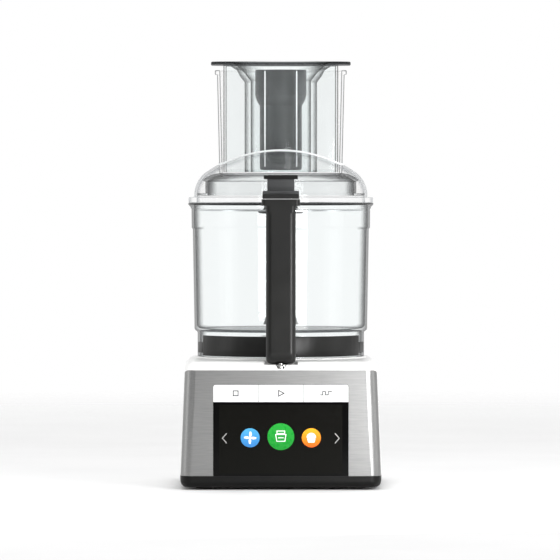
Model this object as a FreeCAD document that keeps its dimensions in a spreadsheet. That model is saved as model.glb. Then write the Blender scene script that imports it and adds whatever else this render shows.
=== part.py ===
"""Food processor: motor base with a display panel, clear bowl, lid with a wide feed tube, and two pushers.

Millimetres, +Z up, front towards -Y. The origin is on the surface that the feet stand on, at the middle of
the machine's outline. The drive axis stands a little behind it, at spindle_y.
"""
import FreeCAD, Part
import math
import os

import Sketcher

VECTOR = FreeCAD.Vector

# Driving dimensions: alias, value in millimetres (degrees for angles, plain numbers for counts).
DIMENSIONS = [
    # base
    ("spindle_y", 16), ("base_front", -130), ("base_back", 124), ("front_round", 12), ("back_round", 40),
    ("side_bow", 3000), ("tray_bottom", 2.5), ("tray_top", 15.3), ("tray_wall", 3), ("tray_edge_round", 7),
    ("foot_radius", 9), ("foot_x", 84), ("screw_x", 97), ("screw_front", -96), ("screw_back", 92),
    ("deck_height", 140), ("deck_round", 10.5), ("housing_wall", 3), ("seat_radius", 94.5), ("seat_top", 141.4),
    ("boss_radius", 22), ("boss_top", 164), ("notch_floor", 136.3), ("dish_floor", 132.1), ("dish_radius", 7.4), ("notch_half_w", 18.5),
    # front panel
    ("fascia_top", 130.6), ("fascia_low_half_w", 109.4), ("fascia_top_half_w", 104.7), ("fascia_sheet", 1.5),
    ("fascia_return", 13), ("fascia_corner", 5.5),
    ("panel_half_w", 73.8), ("glass_top", 95.7), ("button_top", 115.1), ("panel_gap", 0.4),
    ("glass_front", -129.7), ("glass_back", -126.7), ("frame_back", -123), ("board_front", -120),
    ("display_half_w", 67), ("display_low", 18), ("display_high", 93), ("button_pitch", 49.2),
    ("button_z", 105.5), ("stem_end", -122.8),
    # drive
    ("shaft_radius", 6), ("shaft_low", 20), ("shaft_top", 206), ("running_gap", 0.06),
    ("stator_half", 54), ("stator_low", 56), ("stator_high", 100), ("rotor_radius", 30), ("bolt_offset", 43),
    ("bearing_radius", 11),
    # bowl
    ("skirt_radius", 92.6), ("skirt_low", 141.7), ("bowl_floor", 169.6), ("bowl_wall", 2.6),
    ("bowl_low_radius", 96.1), ("bowl_high_radius", 99.4), ("ledge_height", 282.7), ("bowl_rim", 312),
    ("hub_radius", 12.4), ("hub_top", 216), ("collar_low", 143), ("collar_high", 165.5), ("collar_radius", 95.2),
    # handle
    ("grip_half_w", 16.2), ("grip_front", -150), ("grip_back", -132), ("grip_low", 137), ("grip_top", 301.6),
    ("rod_radius", 2.6), ("rod_y", -123), ("cap_top", 316.5), ("spring_low", 263), ("spring_high", 289),
    # disc
    ("disc_radius", 91), ("disc_height", 303), ("stem_radius", 16.5), ("stem_top", 300),
    # lid
    ("flange_radius", 102.7), ("flange_low", 312.3), ("flange_high", 318), ("dome_top", 372),
    ("crown_radius", 146), ("shoulder_radius", 85.3), ("lid_wall", 2.4),
    ("drum_radius", 84), ("drum_low", 320), ("drum_top", 345),
    # feed tube
    ("tube_low_half_w", 68.2), ("tube_top_half_w", 70.8), ("tube_front", -26), ("tube_back", 79),
    ("tube_top", 459), ("tube_wall", 2.6), ("tube_corner", 13), ("bead_half_w", 73.2), ("bead_low", 454.5),
    # pushers
    ("pusher_half_w", 63.7), ("pusher_front", -22), ("pusher_back", 75), ("pusher_corner", 11),
    ("pusher_wall", 2.4), ("pusher_low", 346), ("pusher_top", 465), ("flange_half_w", 77.5), ("flange_top", 468.5),
    ("cup_y", 27), ("cup_outer", 40.4), ("cup_inner", 33.6), ("small_low", 348), ("small_top", 460),
    ("small_head", 28.6), ("small_shaft", 23.5),
]
VALUES = dict(DIMENSIONS)


class Size:
    """A length that knows its number and the spreadsheet expression that it comes from."""

    def __init__(self, number, text):
        self.number = number
        self.text = text

    def combined(self, other, sign, number):
        other_text = other.text if isinstance(other, Size) else repr(other)
        return Size(number, "(%s %s %s)" % (self.text, sign, other_text))

    def __add__(self, other):
        return self.combined(other, "+", self.number + value_of(other))

    def __sub__(self, other):
        return self.combined(other, "-", self.number - value_of(other))

    def __mul__(self, other):
        return self.combined(other, "*", self.number * value_of(other))

    def __truediv__(self, other):
        return self.combined(other, "/", self.number / value_of(other))

    def __neg__(self):
        return Size(-self.number, "(-1 * %s)" % self.text)

    def root(self):
        return Size(math.sqrt(self.number), "sqrt(%s)" % self.text)


def as_size(length):
    return length if isinstance(length, Size) else Size(float(length), repr(float(length)))


def value_of(length):
    return length.number if isinstance(length, Size) else float(length)


class Dimensions:
    """The sheet's cells as Size values, read as attributes."""

    def __getattr__(self, alias):
        return Size(float(VALUES[alias]), "dims.%s" % alias)


D = Dimensions()
doc = FreeCAD.newDocument("food_processor")
sheet = doc.addObject("Spreadsheet::Sheet", "dims")
for row, (alias, number) in enumerate(DIMENSIONS, start=1):
    sheet.set("A%d" % row, alias)
    sheet.set("B%d" % row, str(number))
    sheet.setAlias("B%d" % row, alias)
doc.recompute()

NODES = []


# ---------------------------------------------------------------- building helpers

def bind(thing, path, length):
    """Binds one property of an object to the sheet."""
    if isinstance(length, Size):
        thing.setExpression(path, length.text)


def new_body(name, stands_at=None):
    """An empty body that becomes the node called name. stands_at is the Y of the upright axis it is made about."""
    body = doc.addObject("PartDesign::Body", name)
    body.Label = name
    body.AllowCompound = True
    if stands_at is not None:
        body.Placement.Base = VECTOR(0, stands_at.number, 0)
        bind(body, "Placement.Base.y", stands_at)
    NODES.append(body)
    return body


def new_sketch(body, plane, offset=0):
    """A sketch on one of the body's origin planes, moved along the plane's normal."""
    sketch = body.newObject("Sketcher::SketchObject", "%s_sketch" % body.Name)
    origin_plane = [o for o in body.Origin.OriginFeatures if o.Role == plane + "_Plane"][0]
    sketch.AttachmentSupport = [(origin_plane, "")]
    sketch.MapMode = "FlatFace"
    sketch.AttachmentOffset = FreeCAD.Placement(VECTOR(0, 0, value_of(offset)), FreeCAD.Rotation())
    bind(sketch, "AttachmentOffset.Base.z", offset)
    return sketch


def arc_middle(start, end, radius):
    """The middle of the short arc from start to end. Its centre is on the left if radius is positive."""
    chord = end - start
    half = chord.Length / 2
    sagitta = abs(radius) - math.sqrt(max(radius * radius - half * half, 0))
    outward = VECTOR(chord.y, -chord.x, 0).normalize()
    return (start + end) * 0.5 + outward * (sagitta if radius > 0 else -sagitta)


def draw_outline(sketch, corners):
    """A closed outline. A corner is (x, y), or (x, y, radius) where an arc starts that ends at the next one."""
    count = len(corners)
    points = [VECTOR(value_of(c[0]), value_of(c[1]), 0) for c in corners]
    first = sketch.GeometryCount
    for i, corner in enumerate(corners):
        start, end = points[i], points[(i + 1) % count]
        if len(corner) == 3:
            radius = value_of(corner[2])
            middle = arc_middle(start, end, radius)
            ends_in_turn = (start, middle, end) if radius > 0 else (end, middle, start)
            sketch.addGeometry(Part.Arc(*ends_in_turn))
        else:
            sketch.addGeometry(Part.LineSegment(start, end))
    ends = [end_position(sketch, first + i, points[(i + 1) % count]) for i in range(count)]
    for i in range(count):
        following = (i + 1) % count
        joint = (first + i, ends[i], first + following, 3 - ends[following])
        sketch.addConstraint(Sketcher.Constraint("Coincident", *joint))
    for i, corner in enumerate(corners):
        this = first + i
        for kind, length in (("DistanceX", corner[0]), ("DistanceY", corner[1])):
            index = sketch.addConstraint(Sketcher.Constraint(kind, this, 3 - ends[i], value_of(length)))
            bind(sketch, "Constraints[%d]" % index, length)
        if len(corner) == 3:
            radius = corner[2]
            index = sketch.addConstraint(Sketcher.Constraint("Radius", this, abs(value_of(radius))))
            if isinstance(radius, Size):
                bind(sketch, "Constraints[%d]" % index, radius if radius.number > 0 else -radius)


def end_position(sketch, index, end):
    """1 or 2: which end of a sketch edge lies at the given point."""
    geometry = sketch.Geometry[index]
    return 1 if geometry.StartPoint.distanceToPoint(end) < geometry.EndPoint.distanceToPoint(end) else 2


def draw_circle(sketch, x, y, radius):
    index = sketch.addGeometry(Part.Circle(VECTOR(value_of(x), value_of(y), 0), VECTOR(0, 0, 1), value_of(radius)))
    for kind, length in (("DistanceX", x), ("DistanceY", y)):
        c = sketch.addConstraint(Sketcher.Constraint(kind, index, 3, value_of(length)))
        bind(sketch, "Constraints[%d]" % c, length)
    c = sketch.addConstraint(Sketcher.Constraint("Radius", index, value_of(radius)))
    bind(sketch, "Constraints[%d]" % c, radius)


def rectangle(x0, y0, x1, y1):
    return [(x0, y0), (x1, y0), (x1, y1), (x0, y1)]


def rounded_rectangle(x0, y0, x1, y1, low_round, high_round=None, side=None):
    """A rectangle with rounded corners. side is the radius of its slightly bowed left and right sides."""
    x0, y0, x1, y1 = (as_size(v) for v in (x0, y0, x1, y1))
    high_round = low_round if high_round is None else high_round
    bow = () if side is None else (side,)
    return [
        (x0 + low_round, y0), (x1 - low_round, y0, low_round),
        (x1, y0 + low_round, *bow), (x1, y1 - high_round, high_round),
        (x1 - high_round, y1), (x0 + high_round, y1, high_round),
        (x0, y1 - high_round, *bow), (x0, y0 + low_round, low_round),
    ]


def extrude(body, plane, low, high, outlines=(), circles=(), cut=False):
    """Adds or cuts the outlines and circles of one sketch between two places along the plane's own axis."""
    low, high = as_size(low), as_size(high)
    start = {("XY", False): low, ("XY", True): high, ("YZ", False): low, ("YZ", True): high,
             ("XZ", False): -high, ("XZ", True): -low}[plane, cut]
    before = body.Shape.Volume if body.Tip else 0
    sketch = new_sketch(body, plane, start)
    for outline in outlines:
        draw_outline(sketch, outline)
    for x, y, radius in circles:
        draw_circle(sketch, x, y, radius)
    feature = body.newObject("PartDesign::Pocket" if cut else "PartDesign::Pad", body.Name + "_step")
    feature.Profile = sketch
    feature.Length = (high - low).number
    bind(feature, "Length", high - low)
    doc.recompute()
    changed = body.Shape.Volume - before
    if (changed > -1e-3) if cut else (changed < 1e-3):
        raise RuntimeError("%s: %s changes nothing" % (body.Label, feature.Name))
    return feature


def revolve(body, outlines, cut=False, at_y=0):
    """Turns outlines of (radius, height) corners about an upright axis through X = 0."""
    before = body.Shape.Volume if body.Tip else 0
    sketch = new_sketch(body, "XZ", -as_size(at_y))
    for outline in outlines:
        draw_outline(sketch, outline)
    feature = body.newObject("PartDesign::Groove" if cut else "PartDesign::Revolution", body.Name + "_turned")
    feature.Profile = sketch
    feature.ReferenceAxis = (sketch, ["V_Axis"])
    feature.Angle = 360
    doc.recompute()
    if abs(body.Shape.Volume - before) < 1e-3:
        raise RuntimeError("%s: %s changes nothing" % (body.Label, feature.Name))
    return feature


def loft(body, sections, cut=False):
    """Joins closed outlines, each given as (height, outline), into one straight-sided loft."""
    sketches = []
    for height, outline in sections:
        sketch = new_sketch(body, "XY", height)
        draw_outline(sketch, outline)
        sketches.append(sketch)
    doc.recompute()
    feature = body.newObject("PartDesign::SubtractiveLoft" if cut else "PartDesign::AdditiveLoft", body.Name + "_loft")
    feature.Profile = sketches[0]
    feature.Sections = sketches[1:]
    feature.Ruled = True
    doc.recompute()
    return feature


def round_edges(body, radius, chosen):
    """Fillets the edges of the body for which chosen(box of the edge) is true."""
    base = body.Tip
    names = ["Edge%d" % (i + 1) for i, edge in enumerate(base.Shape.Edges) if chosen(edge.BoundBox)]
    if not names:
        raise RuntimeError("%s: no edge to round" % body.Label)
    feature = body.newObject("PartDesign::Fillet", body.Name + "_round")
    feature.Base = (base, names)
    feature.Radius = value_of(radius)
    bind(feature, "Radius", radius)
    doc.recompute()
    return feature


def level(height):
    """Chooses the edges that lie flat at a height."""
    return lambda box: abs(box.ZMin - value_of(height)) < 0.01 and abs(box.ZMax - value_of(height)) < 0.01


def turned_piece(name, *outlines):
    """A round piece about the drive axis."""
    body = new_body(name, D.spindle_y)
    revolve(body, outlines)
    return body


def ring(inner, outer, low, high):
    return [(inner, low), (outer, low), (outer, high), (inner, high)]


def polar(radius, degrees):
    angle = math.radians(degrees)
    return as_size(radius) * math.cos(angle), as_size(radius) * math.sin(angle)


def arc_band(inner, outer, middle, half_angle):
    """A band of a ring, half_angle degrees to either side of the middle direction."""
    first, last = middle - half_angle, middle + half_angle
    outer_start, outer_end = polar(outer, first), polar(outer, last)
    inner_end, inner_start = polar(inner, last), polar(inner, first)
    return [(*outer_start, as_size(outer)), outer_end, (*inner_end, -as_size(inner)), inner_start]


def four_corners(x, y, radius):
    return [(sx, sy, radius) for sx in (x, -x) for sy in (y, -y)]


# ---------------------------------------------------------------- outlines that several pieces share

def base_width(height):
    """Half the width of the base at a height: its sides lean in evenly from the tray to the deck."""
    lean = (D.fascia_low_half_w - D.fascia_top_half_w) / (D.fascia_top - D.tray_top)
    return D.fascia_low_half_w - lean * (as_size(height) - D.tray_top)


def base_outline(height, inset=0):
    """The base seen from above, with its front at the front panel's face."""
    half = base_width(height) - inset
    return rounded_rectangle(-half, D.base_front + inset, half, D.base_back - inset,
                             D.front_round - inset, D.back_round - inset, D.side_bow)


def fascia_outline(height, outside):
    """The front panel seen from above: a sheet that wraps both front corners. outside widens its outer side."""
    half, sheet_t, bend = base_width(height), D.fascia_sheet, D.front_round
    front, back = D.base_front, D.base_front + D.fascia_return
    inner = [(half - sheet_t, back), (half - sheet_t, front + bend, -(bend - sheet_t)),
             (half - bend, front + sheet_t), (-(half - bend), front + sheet_t, -(bend - sheet_t)),
             (-(half - sheet_t), front + bend), (-(half - sheet_t), back)]
    if outside:
        return inner + [(-half - outside, back), (-half - outside, front - outside),
                        (half + outside, front - outside), (half + outside, back)]
    return inner + [(-half, back), (-half, front + bend, bend), (-(half - bend), front),
                    (half - bend, front, bend), (half, front + bend), (half, back)]


def feed_outline(half, front, back, corner):
    """A wide feed opening: straight front and sides, and a back that follows a circle about the drive axis."""
    half, front, back = as_size(half), as_size(front), as_size(back)
    blend_y = ((back - corner) * (back - corner) - (half - corner) * (half - corner)).root()
    scale = back / (back - corner)
    return [(-(half - corner), front), (half - corner, front, corner),
            (half, front + corner), (half, blend_y, corner),
            ((half - corner) * scale, blend_y * scale, back), (-((half - corner) * scale), blend_y * scale, corner),
            (-half, blend_y), (-half, front + corner, corner)]


# ---------------------------------------------------------------- base: tray, housing, front panel

FEET = four_corners(D.foot_x, D.foot_x, D.foot_radius)
TRAY_SCREWS = [(x, y) for x in (D.screw_x, -D.screw_x) for y in (D.screw_front, D.screw_back)]
FLOOR_SLOT_COUNT = 9


def make_tray():
    tray = new_body("base_tray")
    extrude(tray, "XY", D.tray_bottom, D.tray_top, [base_outline(D.tray_top)])
    round_edges(tray, D.tray_edge_round, level(D.tray_bottom))
    floor = D.tray_bottom + D.tray_wall
    extrude(tray, "XY", floor, D.tray_top, [base_outline(D.tray_top, D.tray_wall)], cut=True)
    stems = [(x, y, 3.6) for x, y, _ in FEET]
    holes = [(x, y, 2.1) for x, y in TRAY_SCREWS]
    extrude(tray, "XY", D.tray_bottom - 1, floor + 1, circles=stems + holes, cut=True)
    slots = []
    for i in range(FLOOR_SLOT_COUNT):
        x = (i - (FLOOR_SLOT_COUNT - 1) / 2) * 9
        slots.append(rectangle(x - 2, D.spindle_y - 32, x + 2, D.spindle_y + 32))
    extrude(tray, "XY", D.tray_bottom - 1, floor + 1, slots, cut=True)

    feet = new_body("rubber_feet")
    extrude(feet, "XY", 0, D.tray_bottom, circles=FEET)
    extrude(feet, "XY", D.tray_bottom, floor, circles=[(x, y, 3.5) for x, y, _ in FEET])

    screws = new_body("tray_screws")
    extrude(screws, "XY", D.tray_bottom - 1.5, D.tray_bottom, circles=[(x, y, 3.8) for x, y in TRAY_SCREWS])
    extrude(screws, "XY", D.tray_bottom, 30, circles=[(x, y, 2) for x, y in TRAY_SCREWS])


def make_housing():
    core = new_body("housing_core")
    NODES.remove(core)
    inset = D.fascia_sheet + D.housing_wall
    ceiling = D.deck_height - D.housing_wall
    loft(core, [(z, base_outline(z)) for z in (D.tray_top, D.deck_height)])
    loft(core, [(z, base_outline(z, inset)) for z in (D.tray_top, ceiling)], cut=True)
    round_edges(core, D.deck_round - inset, level(ceiling))
    round_edges(core, D.deck_round, level(D.deck_height))
    pillars = [(x, y, 9) for x, y in TRAY_SCREWS]
    extrude(core, "XY", D.tray_top, 40, circles=pillars)
    extrude(core, "XY", D.tray_top, 32, circles=[(x, y, 2.05) for x, y in TRAY_SCREWS], cut=True)

    # the bowl's seat, and the boss that the drive shaft comes up through
    extrude(core, "XY", ceiling, D.seat_top, circles=[(0, D.spindle_y, D.seat_radius)])
    extrude(core, "XY", ceiling, D.boss_top, circles=[(0, D.spindle_y, D.boss_radius)])
    extrude(core, "XY", ceiling - 1, D.boss_top - 6, circles=[(0, D.spindle_y, D.boss_radius - 3)], cut=True)
    extrude(core, "XY", ceiling - 1, D.boss_top, circles=[(0, D.spindle_y, 10.2)], cut=True)

    # the notch under the handle's foot, in a block below the deck, with the plunger's dish and hole
    back = D.rod_y + 10
    half, cut = D.notch_half_w, 4
    outer = half + D.housing_wall
    extrude(core, "XY", 125, ceiling + 0.5, [rectangle(-outer, D.base_front + 4, outer, back + 3)])
    notch = [(-half, D.base_front - 2), (half, D.base_front - 2), (half, back - cut),
             (half - cut, back), (-half + cut, back), (-half, back - cut)]
    extrude(core, "XY", D.notch_floor, 150, [notch], cut=True)
    extrude(core, "XY", D.dish_floor, 150, circles=[(0, D.rod_y, D.dish_radius)], cut=True)
    extrude(core, "XY", 120, D.dish_floor + 1, circles=[(0, D.rod_y, 4 + VALUES["running_gap"])], cut=True)

    # openings: the control panel, the cord gland and the cooling slots
    extrude(core, "XZ", D.base_front - 1, D.board_front, [rectangle(-88, D.tray_top - 1, 88, 121)], cut=True)
    extrude(core, "XZ", 110, D.base_back + 1, circles=[(-55, 34, 7)], cut=True)
    slots = [rectangle(x - 1.6, 48, x + 1.6, 104) for x in range(-44, 45, 8)]
    extrude(core, "XZ", 110, D.base_back + 1, slots, cut=True)

    # the recess that the front panel lies in, its two top corners rounded
    recess = fascia_body("recess_band", 4)
    housing = doc.addObject("Part::Cut", "housing_shell")
    housing.Base, housing.Tool = core, recess
    housing.Label = "housing_shell"
    NODES.append(housing)


def fascia_body(name, outside):
    """The band of sheet round the base's front, trimmed to the front panel's outline seen from the front."""
    band = new_body(name)
    NODES.remove(band)
    loft(band, [(z, fascia_outline(z, outside)) for z in (D.tray_top, D.fascia_top)])
    mask = new_body(name + "_mask")
    NODES.remove(mask)
    corner = D.fascia_corner
    beyond, low = base_width(D.tray_top) + 6, D.fascia_top - corner
    side = base_width(low) + 0.6
    outline = [(-beyond, D.tray_top), (beyond, D.tray_top), (beyond, low), (side, low, corner),
               (side - corner, D.fascia_top), (-(side - corner), D.fascia_top, corner), (-side, low), (-beyond, low)]
    extrude(mask, "XZ", D.base_front - 6, D.base_front + 20, [outline])
    trimmed = doc.addObject("Part::Common", name + "_trimmed")
    trimmed.Base, trimmed.Tool = band, mask
    doc.recompute()
    return trimmed


def make_fascia():
    blank = fascia_body("fascia_band", 0)
    window = new_body("fascia_window")
    NODES.remove(window)
    half, corner = D.panel_half_w, 3
    outline = [(-half, D.tray_top - 1), (half, D.tray_top - 1), (half, D.button_top - corner, corner),
               (half - corner, D.button_top), (-half + corner, D.button_top, corner), (-half, D.button_top - corner)]
    extrude(window, "XZ", D.base_front - 5, D.base_front + 5, [outline])
    fascia = doc.addObject("Part::Cut", "front_fascia")
    fascia.Base, fascia.Tool = blank, window
    fascia.Label = "front_fascia"
    NODES.append(fascia)


def button_outline(index):
    """One of three keys side by side. The outer two have the panel's rounded top corner."""
    gap, corner = D.panel_gap, 2.8
    left = D.button_pitch * (index - 1.5) + gap / 2
    right = D.button_pitch * (index - 0.5) - gap / 2
    low, high = D.glass_top + 0.3, D.button_top - gap
    points = [(left, low), (right, low)]
    points += [(right, high - corner, corner), (right - corner, high)] if index == 2 else [(right, high)]
    points += [(left + corner, high, corner), (left, high - corner)] if index == 0 else [(left, high)]
    return points


def make_panel():
    half, gap = D.panel_half_w, D.panel_gap
    glass = new_body("display_glass")
    extrude(glass, "XZ", D.glass_front, D.glass_back,
            [rectangle(-half + gap, D.tray_top + 0.1, half - gap, D.glass_top)])

    frame = new_body("panel_frame")
    extrude(frame, "XZ", D.base_front + 1.7, D.frame_back, [rectangle(-87.5, 16, 87.5, 117.6)])
    extrude(frame, "XZ", D.base_front, D.glass_back, [rectangle(-half, 15, half, D.glass_top + 0.2)], cut=True)
    extrude(frame, "XZ", D.base_front, D.glass_back + 1.1,
            [rectangle(-half, D.glass_top + 0.1, half, D.button_top)], cut=True)
    extrude(frame, "XZ", D.base_front, D.frame_back,
            [rectangle(-D.display_half_w - 0.3, D.display_low - 0.3, D.display_half_w + 0.3, D.display_high + 0.3)],
            [(D.button_pitch * i, D.button_z, 3 + VALUES["running_gap"]) for i in (-1, 0, 1)], cut=True)

    module = new_body("display_module")
    extrude(module, "XZ", D.glass_back, D.board_front,
            [rectangle(-D.display_half_w, D.display_low, D.display_half_w, D.display_high)])

    board = new_body("control_board")
    extrude(board, "XZ", D.board_front, D.board_front + 1.6, [rectangle(-72, 17, 72, 116)])

    switches = new_body("button_switches")
    pads = [rectangle(D.button_pitch * i - 3, D.button_z - 3, D.button_pitch * i + 3, D.button_z + 3)
            for i in (-1, 0, 1)]
    extrude(switches, "XZ", D.board_front - 1.6, D.board_front, pads)

    for index, name in enumerate(("stop_button", "auto_button", "pulse_button")):
        button = new_body(name)
        extrude(button, "XZ", D.base_front + 0.1, D.glass_back - 0.2, [button_outline(index)])
        extrude(button, "XZ", D.glass_back - 0.2, D.stem_end,
                circles=[(D.button_pitch * (index - 1), D.button_z, 3)])


# ---------------------------------------------------------------- base: motor and electrics

def make_motor():
    bolts = four_corners(D.bolt_offset, D.bolt_offset, 2.6)
    square = rounded_rectangle(-D.stator_half, -D.stator_half, D.stator_half, D.stator_half, 12)
    stator = new_body("motor_stator", D.spindle_y)
    extrude(stator, "XY", D.stator_low, D.stator_high, [square])
    extrude(stator, "XY", D.stator_low, D.stator_high, circles=[(0, 0, D.rotor_radius + 1), *bolts], cut=True)

    turned_piece("stator_windings",
                 rounded_rectangle(D.rotor_radius + 3, D.stator_high, D.rotor_radius + 18, D.stator_high + 12, 4),
                 rounded_rectangle(D.rotor_radius + 3, D.stator_low - 12, D.rotor_radius + 18, D.stator_low, 4))

    # a bracket is a plate with a bearing seat and four posts that meet the stator
    for name, plate_low, plate_high, post_low, post_high in (
            ("lower_bracket", D.stator_low - 19, D.stator_low - 13, D.stator_low - 13, D.stator_low),
            ("upper_bracket", D.stator_high + 13, D.stator_high + 19, D.stator_high, D.stator_high + 13)):
        bracket = new_body(name, D.spindle_y)
        extrude(bracket, "XY", plate_low, plate_high, [square])
        extrude(bracket, "XY", post_low, post_high, circles=four_corners(D.bolt_offset, D.bolt_offset, 7))
        extrude(bracket, "XY", D.stator_low - 20, D.stator_high + 20,
                circles=[(0, 0, D.bearing_radius), *bolts], cut=True)
        turned_piece(name.replace("bracket", "bearing"),
                     ring(D.shaft_radius + D.running_gap, D.bearing_radius, plate_low, plate_high))

    bolt = new_body("motor_bolts", D.spindle_y)
    head = D.stator_low - 19
    extrude(bolt, "XY", head - 3.5, head, circles=four_corners(D.bolt_offset, D.bolt_offset, 4.5))
    extrude(bolt, "XY", head, D.stator_high + 24, circles=four_corners(D.bolt_offset, D.bolt_offset, 2.5))

    mounts = new_body("motor_mounts", D.spindle_y)
    ceiling = D.deck_height - D.housing_wall
    extrude(mounts, "XY", D.stator_high + 19, ceiling, circles=four_corners(D.bolt_offset, D.bolt_offset, 9))
    extrude(mounts, "XY", D.stator_high + 19, ceiling, circles=four_corners(D.bolt_offset, D.bolt_offset, 4), cut=True)

    turned_piece("shaft_seal", ring(D.shaft_radius + D.running_gap, 10.2, D.boss_top - 6, D.boss_top))


def make_electrics():
    capacitor = new_body("run_capacitor")
    extrude(capacitor, "XY", D.tray_bottom + D.tray_wall, 72, circles=[(24, 95, 19)])
    round_edges(capacitor, 2, level(72))

    gland = new_body("cord_gland")
    at = (-55, 34)
    extrude(gland, "XZ", 114, D.base_back, circles=[(*at, 6.9)])
    extrude(gland, "XZ", D.base_back, D.base_back + 3, circles=[(*at, 10)])
    extrude(gland, "XZ", D.base_back + 3, D.base_back + 10, circles=[(*at, 6.5)])
    extrude(gland, "XZ", 113, D.base_back + 11, circles=[(*at, 4)], cut=True)

    switch = new_body("interlock_switch")
    extrude(switch, "XZ", -117.5, -107, [rectangle(-10, 106, 10, 118.2)])
    extrude(switch, "XY", 118.2, 119.8, [rectangle(-3, -128, 3, -107)])

    plunger = new_body("switch_plunger", D.rod_y)
    extrude(plunger, "XY", 122.6, 136.4, circles=[(0, 0, 4)])
    extrude(plunger, "XY", 134.9, 136.4, [rounded_rectangle(-6.8, -4.4, 6.8, 4.4, 4)])
    round_edges(plunger, 0.6, level(136.4))


def make_drive():
    shaft = turned_piece("motor_shaft", [(0, D.shaft_low), (D.shaft_radius, D.shaft_low),
                                         (D.shaft_radius, D.shaft_top - 1.5), (D.shaft_radius - 1.5, D.shaft_top),
                                         (0, D.shaft_top)])
    flats = [rectangle(4.8, -8, 8, 8), rectangle(-8, -8, -4.8, 8)]
    extrude(shaft, "XY", D.shaft_top - 26, D.shaft_top + 1, flats, cut=True)
    turned_piece("rotor", ring(D.shaft_radius, D.rotor_radius, D.stator_low - 3, D.stator_high + 3))

    fan = turned_piece("cooling_fan", ring(D.shaft_radius, 13, 22, 31))
    blade_count, lean = 9, 24
    blades = []
    for i in range(blade_count):
        root, tip = 360 / blade_count * i, 360 / blade_count * i + lean
        blades.append([polar(12, root), polar(42, tip), polar(42, tip + 3.4), polar(12, root + 11)])
    extrude(fan, "XY", 22, 31, blades)


# ---------------------------------------------------------------- bowl and handle

def make_bowl():
    wall, skirt = D.bowl_wall, D.skirt_radius
    low, high, floor = D.bowl_low_radius, D.bowl_high_radius, D.bowl_floor
    turned_piece("main_bowl", [
        (skirt - wall, D.skirt_low), (skirt, D.skirt_low), (skirt, floor - 3, -3), (low - 2.4, floor - 0.3, 4),
        (low, floor + 4), (high - 1.4, D.ledge_height), (high - 0.2, D.ledge_height + 1.6),
        (high, D.bowl_rim - 7), (high + 0.9, D.bowl_rim - 6.2), (high + 0.9, D.bowl_rim - 5),
        (high + 3.3, D.bowl_rim - 2.4, 1.4), (high + 2.4, D.bowl_rim), (high + 0.2, D.bowl_rim, 3),
        (high - wall, D.bowl_rim - 3), (high - wall, D.ledge_height + 2.2), (high - 1.4 - wall, D.ledge_height),
        (low - wall, floor + 7.6, -5), (low - wall - 5, floor + wall), (D.hub_radius + 2, floor + wall, -2),
        (D.hub_radius, floor + wall + 2), (D.hub_radius, D.hub_top), (D.hub_radius - 3, D.hub_top),
        (D.hub_radius - 3, floor), (skirt - wall, floor)])

    collar = new_body("bowl_collar", D.spindle_y)
    extrude(collar, "XY", D.collar_low, D.collar_high, [arc_band(skirt, D.collar_radius, -90, 65)])
    lugs = new_body("lock_lugs", D.spindle_y)
    for middle in (-19, -161):
        extrude(lugs, "XY", 146, 158, [arc_band(skirt, D.collar_radius - 0.6, middle, 5)])


def make_handle():
    half, front, back = D.grip_half_w, D.grip_front, D.grip_back
    handle = new_body("bowl_handle", D.spindle_y)
    side_view = [(front, 150, 13), (front + 13, D.grip_low), (back - 4, D.grip_low), (back + 1.5, 142.4), (-90, 142.6),
                 (-90, 165.4), (-104, 166, -30), (back, 190), (back, 262, -30), (-106, 286), (-92, 287),
                 (-92, D.grip_top), (front, D.grip_top)]
    extrude(handle, "YZ", -half, half, [side_view])
    round_edges(handle, 6, lambda box: box.YMax < value_of(front) + 0.1 and box.ZLength > 50)
    heel = 6.5
    corner = [(half - heel, D.grip_low - 1), (half + 1, D.grip_low - 1), (half + 1, D.grip_low + heel),
              (half, D.grip_low + heel, -heel), (half - heel, D.grip_low)]
    extrude(handle, "XZ", front - 1, back + 5, [corner, [(-x, z, *r) for x, z, *r in corner[:3]] + [
        (-half, D.grip_low + heel, heel), (-(half - heel), D.grip_low)]], cut=True)
    extrude(handle, "XY", 130, D.bowl_floor - 1, circles=[(0, 0, D.collar_radius)], cut=True)
    extrude(handle, "XY", D.bowl_floor - 1, D.bowl_rim, circles=[(0, 0, D.bowl_high_radius + 0.2)], cut=True)
    rod_y = D.rod_y - D.spindle_y
    channel = D.rod_radius + D.running_gap
    extrude(handle, "XY", D.grip_low - 1, D.grip_top + 1, circles=[(0, rod_y, channel)], cut=True)
    extrude(handle, "XY", D.spring_low, D.grip_top + 1, circles=[(0, rod_y, 5)], cut=True)

    cap = new_body("handle_cap", D.spindle_y)
    extrude(cap, "YZ", -half, half, [rectangle(front, D.grip_top, -94, 309.5)])
    extrude(cap, "YZ", -20.9, 20.9, [rectangle(front, 309.5, -94, D.cap_top)])
    round_edges(cap, 4, lambda box: box.YMax < value_of(front) + 0.1 and box.ZLength > 5 and box.XLength < 0.1)
    extrude(cap, "XY", 300, D.cap_top + 1, circles=[(0, 0, D.flange_radius + 0.6)], cut=True)
    extrude(cap, "XY", 300, D.cap_top + 1, circles=[(0, rod_y, channel)], cut=True)

    rod = new_body("interlock_rod", D.rod_y)
    revolve(rod, [[(0, 136.8), (D.rod_radius, 136.8), (D.rod_radius, D.spring_high), (4.6, D.spring_high),
                   (4.6, D.spring_high + 2), (D.rod_radius, D.spring_high + 2), (D.rod_radius, D.cap_top - 0.2),
                   (0, D.cap_top - 0.2)]])


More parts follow.
